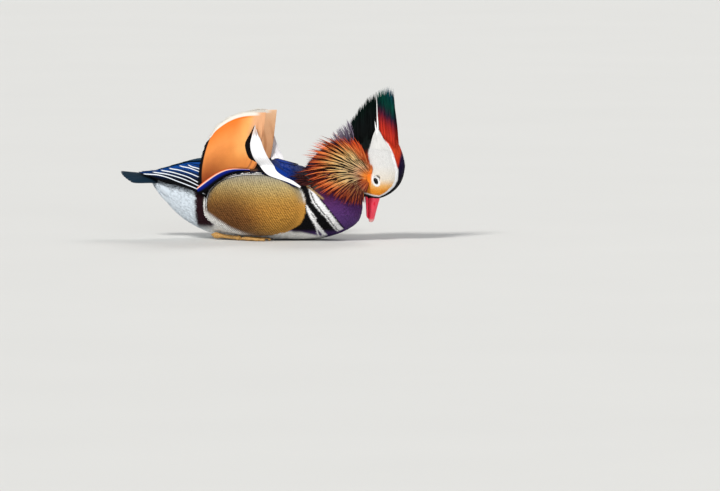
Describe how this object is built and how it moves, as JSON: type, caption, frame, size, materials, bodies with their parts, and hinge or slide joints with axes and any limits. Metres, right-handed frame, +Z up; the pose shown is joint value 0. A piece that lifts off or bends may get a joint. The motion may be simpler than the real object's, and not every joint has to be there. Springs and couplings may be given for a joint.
{
  "type": "mandarin duck",
  "caption": "Drake mandarin duck resting on its belly, head bent down, crest and ruff spread and orange sail feathers raised.",
  "frame": {"origin": "on the flat of the belly that rests on the floor, on the middle plane, under the middle of the body", "axes": "+X from tail to bill, +Y to the bird's left, +Z up from the floor"},
  "size_m": [0.3627, 0.119, 0.1902],
  "materials": {
    "body_feathers": "matte plumage, purple maroon breast, brown back, white belly",
    "neck_feathers": "matte copper red plumage",
    "face_feathers": "short matte plumage, white and buff, with dark lids",
    "crest_feathers": "glossy green, purple and copper plumage",
    "ruff_feathers": "orange red hackles with pale shafts",
    "bill": "satin red horn with a pale nail",
    "eye": "glossy dark brown",
    "flank_feathers": "matte golden buff plumage with fine dark lines",
    "wing_feathers": "dark plumage with blue green gloss and white edges",
    "sail_feathers": "matte orange vane with a white fringe",
    "shoulder_feathers": "white vane with a black border",
    "tail_feathers": "dark slate vanes with a faint gloss",
    "legs": "satin orange yellow scaled skin"
  },
  "bodies": {
    "root": {"torso": "body_feathers", "neck": "neck_feathers", "head": "face_feathers", "bill_upper": "bill", "bill_lower": "bill", "crest": "crest_feathers", "tail": "tail_feathers", "eye_right": "eye", "flank_right": "flank_feathers", "leg_right": "legs", "foot_right": "legs", "wing_right": "wing_feathers", "sail_right": "sail_feathers", "shoulder_right": "shoulder_feathers", "ruff_right": "ruff_feathers", "eye_left": "eye", "flank_left": "flank_feathers", "leg_left": "legs", "foot_left": "legs", "wing_left": "wing_feathers", "sail_left": "sail_feathers", "shoulder_left": "shoulder_feathers", "ruff_left": "ruff_feathers"}
  },
  "joints": []
}
